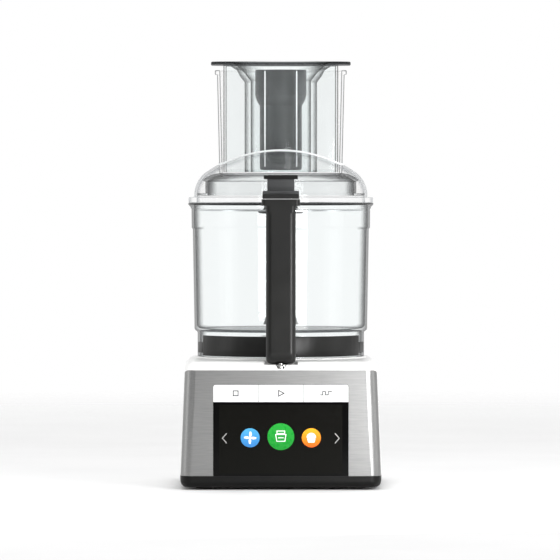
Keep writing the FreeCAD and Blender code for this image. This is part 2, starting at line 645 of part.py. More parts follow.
def make_rod_spring():
    """A coil spring round the rod, from the chamber's floor up to the rod's collar."""
    wire, coil = 0.45, 3.8
    low, high = VALUES["spring_low"] + wire, VALUES["spring_high"] - wire
    helix = Part.makeHelix(4, high - low, coil)
    circle = Part.Wire(Part.Circle(VECTOR(coil, 0, 0), VECTOR(0, 1, 0), wire).toShape())
    solid = Part.Wire(helix.Edges).makePipeShell([circle], True, True)
    spring = doc.addObject("Part::Feature", "rod_spring")
    spring.Shape = solid
    spring.Label = "rod_spring"
    spring.Placement.Base = VECTOR(0, VALUES["rod_y"], low)
    NODES.append(spring)


# ---------------------------------------------------------------- disc, lid and pushers

def make_disc():
    turned_piece("disc_stem", [
        (13, D.bowl_floor + 7), (D.stem_radius + 3, D.bowl_floor + 7), (D.stem_radius, D.bowl_floor + 16),
        (D.stem_radius - 3, D.stem_top), (0, D.stem_top), (0, D.shaft_top + 2),
        (D.shaft_radius + D.running_gap, D.shaft_top + 2), (D.shaft_radius + D.running_gap, 184), (8.8, 184),
        (8.8, D.hub_top + 2), (13, D.hub_top + 2)])
    turned_piece("disc_hub", [(0, D.stem_top), (24, D.stem_top), (26, D.disc_height), (0, D.disc_height)])
    plate = turned_piece("grating_disc", [(0, D.disc_height), (D.disc_radius, D.disc_height),
                                          (D.disc_radius, D.disc_height + 1.2), (0, D.disc_height + 1.2)])
    teeth = []
    for ring_index in range(4):
        radius, count = 36 + 14 * ring_index, 14 + 5 * ring_index
        for i in range(count):
            x, y = polar(radius, 360 / count * (i + 0.5 * (ring_index % 2)))
            teeth.append((x, y, 3.2))
    extrude(plate, "XY", D.disc_height - 1, D.disc_height + 2, circles=teeth, cut=True)
    turned_piece("disc_cap", [(0, D.disc_height + 1.2), (20, D.disc_height + 1.2), (18, D.disc_height + 6, 3),
                              (15, D.disc_height + 8), (0, D.disc_height + 8)])


def crown_height(sphere, radius):
    """The height at a radius of a sphere whose centre is the dome's."""
    radius = as_size(radius)
    return (sphere * sphere - radius * radius).root() + (D.dome_top - D.crown_radius)


def make_lid():
    wall, crown, shoulder_r = D.lid_wall, D.crown_radius, D.shoulder_radius
    dome = turned_piece("lid_dome", [
        (93.7, D.flange_low), (D.flange_radius, D.flange_low), (D.flange_radius, D.flange_high - 1.2, 1.2),
        (D.flange_radius - 1.2, D.flange_high), (96.4, D.flange_high + 0.4, 33),
        (shoulder_r, crown_height(crown, shoulder_r), crown), (15, crown_height(crown, 15)),
        (15, crown_height(crown - wall, 15), -(crown - wall)),
        (shoulder_r - 1.6, crown_height(crown - wall, shoulder_r - 1.6), -30), (93.7, D.flange_high)])
    hole = feed_outline(D.tube_low_half_w + 0.6, D.tube_front - 0.1, D.tube_back + 0.1, D.tube_corner)
    extrude(dome, "XY", D.drum_top - 8, D.dome_top + 5, [hole], cut=True)

    drum = turned_piece("lid_drum", [
        (D.drum_radius - wall, D.drum_low), (93.4, D.drum_low), (93.4, D.drum_low + wall),
        (D.drum_radius, D.drum_low + wall), (D.drum_radius, 335.4), (86.6, 336.4), (86.6, 337.8, 34),
        (66, D.drum_top), (0, D.drum_top), (0, D.drum_top - wall), (66, D.drum_top - wall, -22),
        (D.drum_radius - wall, 336)])
    inner = feed_outline(D.tube_low_half_w - D.tube_wall, D.tube_front + D.tube_wall,
                         D.tube_back - D.tube_wall, D.tube_corner - D.tube_wall)
    extrude(drum, "XY", D.drum_low + 4, D.drum_top + 1, [inner], cut=True)

    tube = new_body("feed_tube", D.spindle_y)
    front, back, corner, t = D.tube_front, D.tube_back, D.tube_corner, D.tube_wall
    loft(tube, [(D.drum_top, feed_outline(D.tube_low_half_w, front, back, corner)),
                (D.bead_low, feed_outline(D.tube_top_half_w, front, back, corner))])
    extrude(tube, "XY", D.bead_low, D.tube_top, [feed_outline(D.bead_half_w, front - 2.4, back + 2.4, corner + 2)])
    round_edges(tube, 1, level(D.tube_top))
    loft(tube, [(D.drum_top, feed_outline(D.tube_low_half_w - t, front + t, back - t, corner - t)),
                (D.tube_top, feed_outline(D.tube_top_half_w - t, front + t, back - t, corner - t))], cut=True)


def make_latch():
    """The lid's latch: it stands in front of the lid, over the handle's cap and the rod's top end."""
    pieces = (("latch_foot", 20, [(-148, 317.2), (-103.6, 317.2), (-103.6, 318.8), (-90, 318.8), (-90, 322.4),
                                  (-148, 322.4)]),
              ("latch_cap", 18.7, [(-119, 338.4), (-90, 338.4), (-90, 343), (-117, 343)]))
    for name, half, side_view in pieces:
        body = new_body(name, D.spindle_y)
        extrude(body, "YZ", -half, half, [side_view])
        extrude(body, "XY", 310, 350, circles=[(0, 0, 97.2)], cut=True)
    column = new_body("latch_column", D.spindle_y)
    extrude(column, "YZ", -19.8, 19.8, [[(-124, 322.4), (-90, 322.4), (-90, 325.6), (-121, 325.6)]])
    extrude(column, "YZ", -14.9, 14.9, [rectangle(-116, 325.6, -90, 338.4)])
    extrude(column, "XY", 320, 350, circles=[(0, 0, 97.2)], cut=True)


def make_pushers():
    half, front, back, corner, t = D.pusher_half_w, D.pusher_front, D.pusher_back, D.pusher_corner, D.pusher_wall
    inside = feed_outline(half - t, front + t, back - t, corner - t)
    pusher = new_body("large_pusher", D.spindle_y)
    extrude(pusher, "XY", D.pusher_low, D.pusher_top, [feed_outline(half, front, back, corner)])
    extrude(pusher, "XY", D.pusher_top, D.flange_top, [feed_outline(D.flange_half_w, -35, 93, 18)])
    round_edges(pusher, 1.4, level(D.flange_top))
    extrude(pusher, "XY", D.pusher_low, D.pusher_top - 1, [inside], cut=True)
    mouth, cup_in, cup_out = D.pusher_top, D.cup_inner, D.cup_outer
    revolve(pusher, [[(0, D.pusher_low), (cup_out, D.pusher_low), (cup_out, mouth - 19), (46, mouth - 11.5),
                      (49, mouth - 5.5), (58, mouth + 0.2), (0, mouth + 0.2)]], at_y=D.cup_y)
    ribs = [rectangle(sx - 1, front + t / 2, sx + 1, D.cup_y - 34) for sx in (-17.6, 17.6)]
    extrude(pusher, "XY", D.pusher_low + 4, mouth, ribs)
    revolve(pusher, [[(0, D.pusher_low - 1), (cup_in, D.pusher_low - 1), (cup_in, mouth - 17.5),
                      (41, mouth - 8), (54, D.flange_top + 0.1), (0, D.flange_top + 0.1)]], cut=True, at_y=D.cup_y)

    floor = new_body("pusher_floor", D.spindle_y)
    extrude(floor, "XY", D.pusher_low, D.pusher_low + 2.5, [inside])
    extrude(floor, "XY", D.pusher_low, D.pusher_low + 2.5, circles=[(0, D.cup_y, cup_out)], cut=True)

    small = new_body("small_pusher", D.spindle_y)
    head, shaft, low, top = D.small_head, D.small_shaft, D.small_low, D.small_top
    revolve(small, [[(0, low), (shaft - 3, low, 3), (shaft, low + 3), (shaft, top - 40, 30), (head, top - 28),
                     (head, top), (head - 2.4, top), (head - 2.4, top - 28), (shaft - 2.4, top - 40),
                     (shaft - 2.4, low + 3), (0, low + 3)]], at_y=D.cup_y)


for make in (make_tray, make_housing, make_fascia, make_panel, make_motor, make_electrics, make_drive, make_bowl,
             make_handle, make_rod_spring, make_disc, make_lid, make_latch, make_pushers):
    make()
doc.recompute()

broken = [o.Label for o in doc.Objects if "Invalid" in o.State or "Error" in o.State]
for node in NODES:
    if node.Shape.isNull() or not node.Shape.isValid() or not node.Shape.Solids:
        broken.append(node.Label)
if broken:
    raise RuntimeError("failed pieces: %s" % sorted(set(broken)))
os.makedirs("parts", exist_ok=True)
for node in NODES:
    node.Shape.exportStep("parts/%s.step" % node.Label)
    print("%-18s %d solid(s) %9.1f mm3" % (node.Label, len(node.Shape.Solids), node.Shape.Volume))
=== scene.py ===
"""Food processor: finishes, display graphics, floor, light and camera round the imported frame."""

import math

import bmesh
import bpy
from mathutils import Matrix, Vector


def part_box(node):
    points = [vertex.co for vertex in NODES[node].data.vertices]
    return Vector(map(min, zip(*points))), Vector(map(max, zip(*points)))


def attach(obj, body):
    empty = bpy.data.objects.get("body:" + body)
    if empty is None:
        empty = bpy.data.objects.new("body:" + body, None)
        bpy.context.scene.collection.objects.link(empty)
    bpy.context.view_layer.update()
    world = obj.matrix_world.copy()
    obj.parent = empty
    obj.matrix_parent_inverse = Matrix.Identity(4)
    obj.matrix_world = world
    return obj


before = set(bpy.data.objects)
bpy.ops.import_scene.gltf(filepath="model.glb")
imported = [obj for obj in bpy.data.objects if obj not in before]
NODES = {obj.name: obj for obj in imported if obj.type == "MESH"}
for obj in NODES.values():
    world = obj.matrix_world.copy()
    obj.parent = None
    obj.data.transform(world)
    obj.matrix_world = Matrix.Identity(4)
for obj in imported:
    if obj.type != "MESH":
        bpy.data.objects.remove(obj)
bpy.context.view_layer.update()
MM = 0.001
SPINDLE_Y = 16         # the drive axis, mm behind the frame's middle


# ---------------------------------------------------------------- materials

def linear(red, green, blue):
    """Linear colour of an sRGB one given from 0 to 255."""
    def channel(value):
        value /= 255
        return value / 12.92 if value <= 0.04045 else ((value + 0.055) / 1.055) ** 2.4
    return (channel(red), channel(green), channel(blue), 1)


class Finish:
    """A node material under construction, with patterns that stay fixed to the piece."""

    def __init__(self, name, metallic=0.0, specular=0.5):
        self.material = bpy.data.materials.new(name)
        self.material.use_nodes = True
        self.tree = self.material.node_tree
        self.shader = self.tree.nodes["Principled BSDF"]
        self.shader.inputs["Metallic"].default_value = metallic
        self.shader.inputs["Specular IOR Level"].default_value = specular
        self.place = self.add("ShaderNodeTexCoord").outputs["Object"]

    def add(self, kind, **settings):
        node = self.tree.nodes.new(kind)
        for key, value in settings.items():
            setattr(node, key, value)
        return node

    def link(self, source, target):
        self.tree.links.new(source, target)

    def calculate(self, operation, *values):
        """The result of a Math node whose inputs are other nodes' outputs or plain numbers."""
        node = self.add("ShaderNodeMath", operation=operation)
        for socket, value in zip(node.inputs, values):
            if isinstance(value, (int, float)):
                socket.default_value = value
            else:
                self.link(value, socket)
        return node.outputs["Value"]

    def split(self, vector, axis):
        node = self.add("ShaderNodeSeparateXYZ")
        self.link(vector, node.inputs["Vector"])
        return node.outputs[axis]

    def noise(self, size, stretch=(1, 1, 1), detail=3):
        """Noise whose features are size metres across, drawn out by stretch along each axis."""
        mapping = self.add("ShaderNodeMapping")
        mapping.inputs["Scale"].default_value = [1 / (size * s) for s in stretch]
        self.link(self.place, mapping.inputs["Vector"])
        texture = self.add("ShaderNodeTexNoise")
        texture.inputs["Scale"].default_value = 1
        texture.inputs["Detail"].default_value = detail
        self.link(mapping.outputs["Vector"], texture.inputs["Vector"])
        return texture.outputs["Fac"]

    def ramp(self, source, stops):
        """A colour ramp with a stop for each (position, colour)."""
        node = self.add("ShaderNodeValToRGB")
        elements = node.color_ramp.elements
        while len(elements) < len(stops):
            elements.new(0.5)
        for element, (position, colour) in zip(elements, stops):
            element.position = position
            element.color = colour
        self.link(source, node.inputs["Fac"])
        return node.outputs["Color"]

    def spread(self, source, low, high, start=0.3, end=0.7):
        """Runs from low to high as the source goes from start to end."""
        node = self.add("ShaderNodeMapRange")
        for key, value in (("From Min", start), ("From Max", end), ("To Min", low), ("To Max", high)):
            node.inputs[key].default_value = value
        self.link(source, node.inputs["Value"])
        return node.outputs["Result"]

    def relief(self, pattern, strength, depth):
        """The surface normal of a pattern raised by depth metres."""
        node = self.add("ShaderNodeBump")
        node.inputs["Strength"].default_value = strength
        node.inputs["Distance"].default_value = depth
        self.link(pattern, node.inputs["Height"])
        return node.outputs["Normal"]

    def mix_shaders(self, share, first, second):
        """Goes from the first shader to the second as the share goes from 0 to 1."""
        node = self.add("ShaderNodeMixShader")
        for source, socket in zip((share, first, second), node.inputs):
            self.link(source, socket)
        return node.outputs["Shader"]

    def colour(self, low, high, size=0.03, stretch=(1, 1, 1)):
        tone = self.ramp(self.noise(size, stretch), [(0.35, low), (0.65, high)])
        self.link(tone, self.shader.inputs["Base Color"])

    def roughness(self, low, high, size=0.02, stretch=(1, 1, 1)):
        self.link(self.spread(self.noise(size, stretch), low, high), self.shader.inputs["Roughness"])

    def bump(self, size, depth, stretch=(1, 1, 1), strength=0.5):
        pattern = self.noise(size, stretch, detail=4)
        self.link(self.relief(pattern, strength, depth), self.shader.inputs["Normal"])

    def along(self, axis, low, high):
        """0 at the place low and 1 at high, along the object's own axis, in metres."""
        return self.spread(self.split(self.place, axis), 0, 1, low, high)

    def painted_rim_shade(self, tone, height, depth):
        """Paints shade on a tone: greys it on the steep faces of a band, depth metres high, round the given
        height, for a rim that looks dark as light runs through it lengthwise.
        """
        tilt_limit = 0.7        # a face is steep while its normal's upward part is within this of nought
        in_band = self.calculate("COMPARE", self.split(self.place, "Z"), height, depth / 2)
        normal = self.add("ShaderNodeNewGeometry").outputs["Normal"]
        steep = self.calculate("COMPARE", self.split(normal, "Z"), 0, tilt_limit)
        mix = self.add("ShaderNodeMix", data_type="RGBA")
        colours = [socket for socket in mix.inputs if socket.type == "RGBA"]
        self.link(self.calculate("MULTIPLY", in_band, steep), mix.inputs[0])
        self.link(tone, colours[0])
        # the grey of the painted rim shade
        colours[1].default_value = linear(96, 98, 100)
        return next(socket for socket in mix.outputs if socket.type == "RGBA")


def plastic(name, dark, light, rough, grain=0.0006, depth=0.00002, specular=0.5):
    """Moulded plastic: a faint drift of tone, uneven gloss, and the mould's fine spark-eroded grain."""
    finish = Finish(name, specular=specular)
    finish.colour(linear(*dark), linear(*light), 0.05)
    finish.roughness(rough - 0.04, rough + 0.05, 0.018)
    finish.bump(grain, depth)
    return finish.material


def brushed(name, dark, light, rough, stretch=(60, 1, 1), line=0.0004, depth=0.00001):
    """Metal with fine lines drawn out along one axis."""
    finish = Finish(name, metallic=1.0)
    finish.colour(linear(*dark), linear(*light), line * 3, stretch)
    finish.roughness(rough - 0.06, rough + 0.08, line * 2, stretch)
    finish.bump(line, depth, stretch, 0.35)
    return finish.material


def clear(name, through, edge, gloss=0.03, grip=0.72, mirror_share=0.7, edge_highlight=0.0, rim=None):
    """Clear plastic in thin walls: it lets light straight through, mirrors the lights by Fresnel's law on its
    outer side, and is faintly hazy from its moulding.

    The wall has the tint through up to the slant grip, and turns to the tint edge where it is seen edge on:
    that darker tint is painted shade, for the dark surroundings seen through a wall edge on. gloss is the
    least roughness of its mirror, mirror_share the strength of it, and edge_highlight how white the slanted
    parts turn, a painted highlight. rim is the height and depth of an outer edge that is given painted shade,
    for the dark look it has as the light comes through it lengthwise."""
    finish = Finish(name)
    finish.tree.nodes.remove(finish.shader)
    weight = finish.add("ShaderNodeLayerWeight")
    weight.inputs["Blend"].default_value = 0.5
    slant = weight.outputs["Facing"]

    # painted shade: the tint turns to edge where the wall is seen edge on, for dark surroundings seen through
    # it
    tone = finish.ramp(slant, [(0.0, linear(*through)), (grip, linear(*through)), (1.0, linear(*edge))])
    # painted shade: grey on the steep faces of the rim band
    if rim:
        tone = finish.painted_rim_shade(tone, *rim)
    body = finish.add("ShaderNodeBsdfTransparent")
    finish.link(tone, body.inputs["Color"])

    # one white shader for the moulding haze and for the painted highlight on the slanted parts
    haze_and_highlight_white = finish.add("ShaderNodeBsdfDiffuse")
    haze_and_highlight_white.inputs["Color"].default_value = linear(248, 249, 250)
    moulding_haze = finish.spread(finish.noise(0.04), 0.004, 0.012)
    # painted highlight: the slanted parts turn white
    painted_edge_highlight = finish.spread(slant, 0, edge_highlight, 0.78, 0.97)
    haze_and_highlight_share = finish.calculate("ADD", moulding_haze, painted_edge_highlight)
    hazy_highlit_body = finish.mix_shaders(haze_and_highlight_share, body.outputs["BSDF"], haze_and_highlight_white.outputs["BSDF"])

    mirror = finish.add("ShaderNodeBsdfGlossy")
    finish.link(finish.spread(finish.noise(0.03), gloss, gloss + 0.05), mirror.inputs["Roughness"])
    finish.link(finish.relief(finish.noise(0.02), 0.08, 0.0002), mirror.inputs["Normal"])
    fresnel = finish.add("ShaderNodeFresnel")
    fresnel.inputs["IOR"].default_value = 1.42
    inside = finish.add("ShaderNodeNewGeometry").outputs["Backfacing"]
    outer_side = finish.spread(inside, mirror_share, 0, 0, 1)
    shine = finish.calculate("MULTIPLY", fresnel.outputs["Fac"], outer_side)
    glass = finish.mix_shaders(shine, hazy_highlit_body, mirror.outputs["BSDF"])
    finish.link(glass, finish.tree.nodes["Material Output"].inputs["Surface"])
    return finish.material


def spun_steel(name, dark, light, rough, centre_y):
    """Sheet steel with fine rings round an upright axis, as a spun disc has."""
    finish = Finish(name, metallic=1.0)
    mapping = finish.add("ShaderNodeMapping")
    mapping.inputs["Location"].default_value = (0, -centre_y, 0)
    finish.link(finish.place, mapping.inputs["Vector"])
    rings = finish.add("ShaderNodeTexWave", wave_type="RINGS", rings_direction="Z")
    for key, value in (("Scale", 700), ("Distortion", 1.5), ("Detail", 2)):
        rings.inputs[key].default_value = value
    finish.link(mapping.outputs["Vector"], rings.inputs["Vector"])
    tone = finish.ramp(rings.outputs["Fac"], [(0.2, linear(*dark)), (0.8, linear(*light))])
    finish.link(tone, finish.shader.inputs["Base Color"])
    gloss = finish.spread(rings.outputs["Fac"], rough - 0.04, rough + 0.06, 0, 1)
    finish.link(gloss, finish.shader.inputs["Roughness"])
    return finish.material


def cast_metal(name, dark, light, rough, grain, depth):
    """Cast metal: the plastic's grain on bare metal."""
    material = plastic(name, dark, light, rough, grain, depth)
    material.node_tree.nodes["Principled BSDF"].inputs["Metallic"].default_value = 1.0
    return material


def rim_band(node_name, middle, depth):
    """The height and depth of a node's rim, whose middle lies that far below the node's top."""
    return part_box(node_name)[1].z - middle, depth


WHITE = plastic("white_moulding", (238, 238, 237), (240, 240, 239), 0.32, 0.003, 0.000002)
BUTTON = plastic("button_white", (226, 226, 226), (234, 234, 234), 0.36, 0.0004, 0.00001)
BLACK = plastic("black_moulding", (9, 9, 8), (14, 14, 12), 0.36, specular=0.32)
TRAY = plastic("tray_black", (5, 5, 5), (9, 9, 8), 0.44, 0.0008, 0.00003, specular=0.2)
SMOKE = plastic("dark_grey_moulding", (66, 67, 68), (76, 77, 78), 0.4, specular=0.25)
GREY = plastic("grey_moulding", (120, 122, 124), (142, 144, 146), 0.42)
# The clear walls below get painted shade where seen edge on. The bowl and the large pusher also get painted
# shade on their rims, and the dome and the tube a painted white highlight on their slanted parts.
CLEAR = clear("clear_wall", (253, 254, 254), (70, 73, 76), grip=0.6,
              rim=rim_band("main_bowl", 0.0012, 0.0024))
DOME_CLEAR = clear("clear_dome", (254, 254, 254), (180, 183, 186), 0.02, 0.7, 0.5, edge_highlight=0.6)
DRUM_CLEAR = clear("clear_drum", (250, 251, 251), (70, 73, 76), 0.03, 0.5, 0.5)
TUBE_CLEAR = clear("clear_tube", (254, 254, 254), (78, 81, 84), 0.02, 0.6, 0.5, edge_highlight=0.3)
PUSHER_CLEAR = clear("clear_pusher", (253, 254, 254), (44, 46, 48), 0.04, 0.5, 0.4,
                     rim=rim_band("large_pusher", 0.0016, 0.0034))
# a white whose whiteness is a painted highlight on the pusher's ribs and the tube's seam bead
HIGHLIGHT_WHITE = plastic("rib_and_bead_highlight", (238, 240, 241), (246, 248, 248), 0.5, 0.0004, 0.00001)
SATIN = brushed("satin_front_panel", (138, 138, 138), (146, 146, 145), 0.36, (24, 1, 1), 0.00025, 0.0000015)
DISC = spun_steel("spun_disc_steel", (176, 178, 180), (214, 216, 218), 0.2, SPINDLE_Y * MM)
POLISHED = brushed("polished_steel", (198, 198, 196), (222, 222, 220), 0.16, (1, 1, 8))
SCREWS = brushed("screw_steel", (96, 96, 98), (138, 138, 140), 0.34, (1, 1, 3))
LAMINATION = brushed("lamination_steel", (92, 94, 98), (132, 134, 138), 0.4, (30, 30, 0.6), 0.0005)
COPPER = brushed("enamelled_copper", (150, 78, 38), (196, 108, 58), 0.3, (8, 8, 1), 0.0008)
CAST = cast_metal("cast_aluminium", (150, 151, 152), (176, 177, 178), 0.45, 0.0012, 0.00005)
BOARD = plastic("circuit_board", (14, 66, 38), (20, 84, 50), 0.4, 0.002, 0.00004)
RUBBER = plastic("rubber", (22, 22, 22), (34, 34, 34), 0.72, 0.0005, 0.00005, 0.3)
GLASS = plastic("black_glass", (1, 1, 1), (3, 3, 3), 0.09, 0.01, 0.000001, 0.12)
PANEL = plastic("display_module", (20, 21, 24), (32, 33, 36), 0.3, 0.0003, 0.00001)

FINISHES = {
    WHITE: ["housing_shell"],
    BUTTON: ["stop_button", "auto_button", "pulse_button"],
    # latch_cap and latch_foot take this black as a painted reflection: it is the black handle seen through
    # the clear latch
    BLACK: ["bowl_handle", "handle_cap", "bowl_collar", "lock_lugs", "latch_cap", "latch_foot",
            "disc_hub", "disc_cap"],
    TRAY: ["base_tray", "panel_frame", "cord_gland", "interlock_switch", "cooling_fan"],
    SMOKE: ["small_pusher", "disc_stem", "latch_column"],
    GREY: ["run_capacitor"],
    CLEAR: ["main_bowl"],
    DOME_CLEAR: ["lid_dome"],
    DRUM_CLEAR: ["lid_drum"],
    TUBE_CLEAR: ["feed_tube"],
    PUSHER_CLEAR: ["large_pusher", "pusher_floor"],
    SATIN: ["front_fascia"],
    DISC: ["grating_disc"],
    POLISHED: ["motor_shaft", "interlock_rod", "rod_spring", "switch_plunger"],
    SCREWS: ["tray_screws", "motor_bolts", "lower_bearing", "upper_bearing"],
    LAMINATION: ["motor_stator", "rotor"],
    COPPER: ["stator_windings"],
    CAST: ["lower_bracket", "upper_bracket"],
    BOARD: ["control_board"],
    RUBBER: ["rubber_feet", "motor_mounts", "shaft_seal"],
    GLASS: ["display_glass"],
    PANEL: ["display_module", "button_switches"],
}
for finish_material, names in FINISHES.items():
    for node_name in names:
        for material_slot in NODES[node_name].material_slots:
            material_slot.material = finish_material


# ---------------------------------------------------------------- edges

EDGE_WIDTHS = {         # node: width of its softened edges, mm
    "front_fascia": 1.1,
    "latch_cap": 0.7,
    "latch_foot": 0.7,
    "latch_column": 0.6,
    "bowl_collar": 0.8,
    "lock_lugs": 0.6,
}


def soften(node_name, width):
    """Rounds a frame node's sharp edges with modifiers, which leave its mesh as it is."""
    piece = NODES[node_name]
    weld = piece.modifiers.new("weld", "WELD")
    weld.merge_threshold = 0.00001
    bevel = piece.modifiers.new("soft_edges", "BEVEL")
    bevel.width = width * MM
    bevel.segments = 3
    bevel.limit_method = "ANGLE"
    bevel.angle_limit = math.radians(50)
    bevel.harden_normals = True


for softened, edge_width in EDGE_WIDTHS.items():
    soften(softened, edge_width)


# ---------------------------------------------------------------- building new pieces, in millimetres

def add_object(name, mesh, finish):
    """Puts a finished bmesh into the scene as an object with one material."""
    data = bpy.data.meshes.new(name)
    mesh.to_mesh(data)
    mesh.free()
    data.materials.append(finish)
    piece = bpy.data.objects.new(name, data)
    bpy.context.scene.collection.objects.link(piece)
    return piece


def moved(points, x, z):
    """The points shifted by x across and z up."""
    return [(px + x, pz + z) for px, pz in points]


def arc(x, z, radius, start=0, end=360, steps=72):
    """Points on an arc, counter-clockwise from the right as seen from the front."""
    count = steps if end - start == 360 else steps + 1
    angles = [math.radians(start + (end - start) * i / steps) for i in range(count)]
    return [(x + radius * math.cos(angle), z + radius * math.sin(angle)) for angle in angles]


def stroke(points, width, closed=False):
    """The outline quads of a line of even width along the points, with mitred corners."""
    least_mitre = 0.35      # keeps a sharp corner's point from running far out
    count = len(points)
    sides = []
    for i, point in enumerate(points):
        before = points[i - 1] if closed or i else None
        after = points[(i + 1) % count] if closed or i < count - 1 else None
        directions = []
        if before:
            directions.append((Vector(point) - Vector(before)).normalized())
        if after:
            directions.append((Vector(after) - Vector(point)).normalized())
        along = sum(directions, Vector((0, 0))).normalized()
        across = Vector((-along.y, along.x))
        mitre = max(across.dot(Vector((-directions[0].y, directions[0].x))), least_mitre)
        offset = across * (width / 2 / mitre)
        sides.append((tuple(Vector(point) + offset), tuple(Vector(point) - offset)))
    quads = []
    for i in range(count if closed else count - 1):
        near, far = sides[i], sides[(i + 1) % count]
        quads.append([near[0], far[0], far[1], near[1]])
    return quads


def plate(name, outlines, front, thickness, finish, body):
    """Thin shapes facing the front: each outline of (x, z) points is pushed back from the depth front."""
    mesh = bmesh.new()
    for outline in outlines:
        back = [mesh.verts.new((x * MM, (front + thickness) * MM, z * MM)) for x, z in outline]
        face = [mesh.verts.new((x * MM, front * MM, z * MM)) for x, z in outline]
        mesh.faces.new(face)
        mesh.faces.new(back[::-1])
        for i in range(len(outline)):
            j = (i + 1) % len(outline)
            mesh.faces.new((face[i], back[i], back[j], face[j]))
    bmesh.ops.remove_doubles(mesh, verts=mesh.verts, dist=1e-7)
    bmesh.ops.recalc_face_normals(mesh, faces=mesh.faces)
    piece = add_object(name, mesh, finish)
    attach(piece, body)


def tinted(name, low, high, bottom, top, rough=0.25, specular=0.2):
    """A lit-looking print that shades from one colour at the height bottom to another at top, in mm."""
    finish = Finish(name, specular=specular)
    height = finish.along("Z", bottom * MM, top * MM)
    tone = finish.ramp(height, [(0.0, linear(*low)), (1.0, linear(*high))])
    finish.link(tone, finish.shader.inputs["Base Color"])
    finish.roughness(rough, rough + 0.06, 0.004)
    finish.bump(0.0005, 0.000004)
    return finish.material


# ---------------------------------------------------------------- display graphics

PRINT = 0.08            # how far a printed shape stands out
DISPLAY_STEP = 0.02     # how far the lit area stands out of the glass
LINE = 0.9              # width of the glyphs' lines
GLASS_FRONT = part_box("display_glass")[0].y / MM

ICONS = {               # name: centre x, centre z, radius, low colour, high colour
    "green": (0, 58.2, 14.6, (22, 138, 44), (34, 160, 54)),
    "blue": (-33.4, 57.0, 10.4, (54, 122, 190), (78, 166, 218)),
    "orange": (33.2, 57.0, 10.4, (232, 92, 22), (250, 176, 36)),
}
SCREEN_WHITE = tinted("screen_white", (238, 240, 240), (250, 250, 250), 40, 80)
SCREEN_GREY = tinted("screen_grey", (158, 158, 156), (176, 176, 174), 40, 80)
SCREEN_DARK = tinted("screen_dark", (7, 7, 4), (9, 9, 6), 18, 93, 0.16, 0.12)


def display_plate(name, outlines, front, thickness, finish):
    plate(name, outlines, front, thickness, finish, "base")


def jar_glyph(x, z):
    """A jar with a lid and a measuring line."""
    jar = [(-4.4, -5.0), (4.4, -5.0), (5.6, 2.4), (-5.6, 2.4)]
    lid = [(-4.2, 3.4), (4.2, 3.4), (4.2, 6.2), (-4.2, 6.2)]
    rule = [(-3.0, -1.2), (3.0, -1.2)]
    return (stroke(moved(jar, x, z), LINE, closed=True) + stroke(moved(lid, x, z), LINE, closed=True)
            + stroke(moved(rule, x, z), 0.8))


def blades_glyph(x, z):
    """Four blades round a hub."""
    blade = [(1.1, -0.9), (3.2, -1.9), (6.6, -1.2), (6.9, 0.5), (3.4, 1.2), (1.1, 0.9)]
    blades = []
    for turn in range(4):
        sine, cosine = math.sin(math.radians(90 * turn)), math.cos(math.radians(90 * turn))
        turned = [(px * cosine - pz * sine, px * sine + pz * cosine) for px, pz in blade]
        blades.append(moved(turned, x, z))
    return blades + [arc(x, z, 1.6, steps=24)]


def cup_glyph(x, z):
    """A baking cup under a round top."""
    cup = [(-3.4, -5.2), (3.4, -5.2), (4.6, -0.6), (-4.6, -0.6)]
    return [moved(cup, x, z), arc(x, z + 0.2, 5.2, 0, 180, 32)]


def display_pieces():
    low, high = (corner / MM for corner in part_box("display_module"))
    active = [(low.x, low.z), (high.x, low.z), (high.x, high.z), (low.x, high.z)]
    display_plate("display_active_area", [active], GLASS_FRONT - DISPLAY_STEP, 3 * DISPLAY_STEP, SCREEN_DARK)
    for name, (x, z, radius, dark, light) in ICONS.items():
        ink = tinted("icon_" + name, dark, light, z - radius, z + radius)
        outline = arc(x, z, radius, steps=96)
        display_plate("icon_%s_disc" % name, [outline], GLASS_FRONT - PRINT, PRINT, ink)
    for name, icon, glyph in (("jar", "green", jar_glyph), ("blades", "blue", blades_glyph),
                              ("cup", "orange", cup_glyph)):
        outlines = glyph(*ICONS[icon][:2])
        display_plate("icon_%s_%s" % (icon, name), outlines, GLASS_FRONT - 2 * PRINT, PRINT, SCREEN_WHITE)
    chevron = [(-2.3, 5.4), (2.3, 0), (-2.3, -5.4)]
    middle_x, middle_z = 61.3, 56.5
    for side, name in ((-1, "chevron_left"), (1, "chevron_right")):
        points = [(side * (x + middle_x), z + middle_z) for x, z in chevron]
        display_plate(name, stroke(points, LINE), GLASS_FRONT - PRINT, PRINT, SCREEN_GREY)


# ---------------------------------------------------------------- key symbols

KEY_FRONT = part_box("stop_button")[0].y / MM
KEY_Z = 105.5           # height of the symbols' middle
KEY_STEP = 0.03         # how far a symbol stands out of its key
KEY_LINE = 1.0
KEY_INK = tinted("key_ink", (44, 46, 48), (56, 58, 60), 100, 110, 0.5)


def key_symbols():
    """A square, a triangle and a pulse wave, one on each key."""
    half = 2.625
    square = [(-half, -half), (half, -half), (half, half), (-half, half)]
    triangle = [(-2.375, -3.125), (3.375, 0), (-2.375, 3.125)]
    trough, peak = -1.75, 1.875
    wave = [(-6.5, trough), (-3.625, trough), (-3.625, peak), (-0.625, peak),
            (-0.625, trough), (2.375, trough), (2.375, peak), (6.5, peak)]
    for name, points, closed, body in (("stop_square", square, True, "stop"),
                                       ("auto_triangle", triangle, True, "auto"),
                                       ("pulse_wave", wave, False, "pulse")):
        low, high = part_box(body + "_button")
        middle = (low.x + high.x) / 2 / MM
        outlines = stroke(moved(points, middle, KEY_Z), KEY_LINE, closed)
        plate(name, outlines, KEY_FRONT - KEY_STEP, 2 * KEY_STEP, KEY_INK, body)


# ---------------------------------------------------------------- ribs and bead, white as a painted highlight

